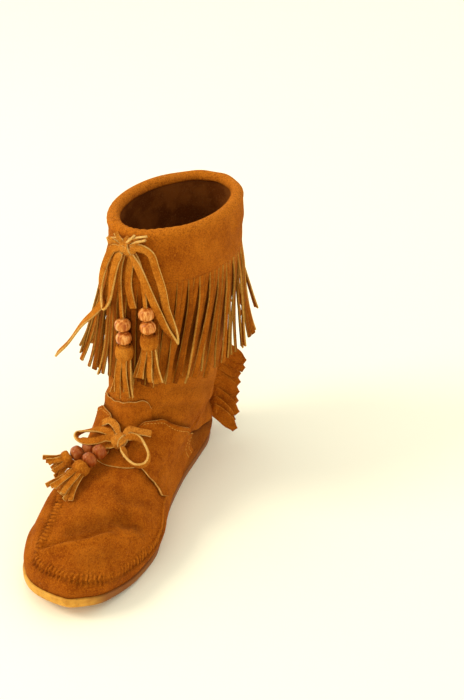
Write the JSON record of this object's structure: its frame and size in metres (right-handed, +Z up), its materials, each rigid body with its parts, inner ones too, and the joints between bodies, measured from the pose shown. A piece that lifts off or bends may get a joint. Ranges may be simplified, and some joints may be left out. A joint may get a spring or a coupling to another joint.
{
  "type": "fringed moccasin boot",
  "caption": "Calf-high suede moccasin boot for the right foot, with a fringed cuff, ankle flaps, bead and tassel ties and a thin sole.",
  "frame": {"origin": "middle of the footprint of all solid pieces, on the ground under the flat of the sole", "axes": "+X from heel to toe, +Y towards the wearer's left (the inner side of this right boot), +Z up"},
  "size_m": [0.2854, 0.1283, 0.2309],
  "materials": {
    "suede": "golden brown suede, raw cut edges",
    "sole_rubber": "amber crepe rubber, dull",
    "sock_leather": "dark brown leather, worn smooth",
    "lace_leather": "suede thong, lighter cut edges",
    "wood": "red-brown lacquered wood"
  },
  "bodies": {
    "root": {"outsole": "sole_rubber", "insole": "sock_leather", "upper": "suede", "tongue": "suede", "ankle_flap_inner": "suede", "ankle_flap_outer": "suede", "fringe_cuff": "suede", "back_fringe": "suede", "ankle_bead_1": "wood", "ankle_bead_2": "wood", "ankle_bead_3": "wood", "ankle_bead_4": "wood", "ankle_tassel_1": "suede", "ankle_tassel_2": "suede", "ankle_tie_cord_1": "lace_leather", "ankle_tie_cord_2": "lace_leather", "ankle_tie_knot": "lace_leather", "ankle_tie_loop_left": "lace_leather", "ankle_tie_loop_right": "lace_leather", "collar_bead_1": "wood", "collar_bead_2": "wood", "collar_bead_3": "wood", "collar_bead_4": "wood", "collar_tassel_1": "suede", "collar_tassel_2": "suede", "collar_tie_cord_1": "lace_leather", "collar_tie_cord_2": "lace_leather", "collar_tie_end_long": "lace_leather", "collar_tie_end_middle": "lace_leather", "collar_tie_knot": "lace_leather", "collar_tie_loop_left": "lace_leather", "collar_tie_loop_right": "lace_leather"}
  },
  "joints": []
}
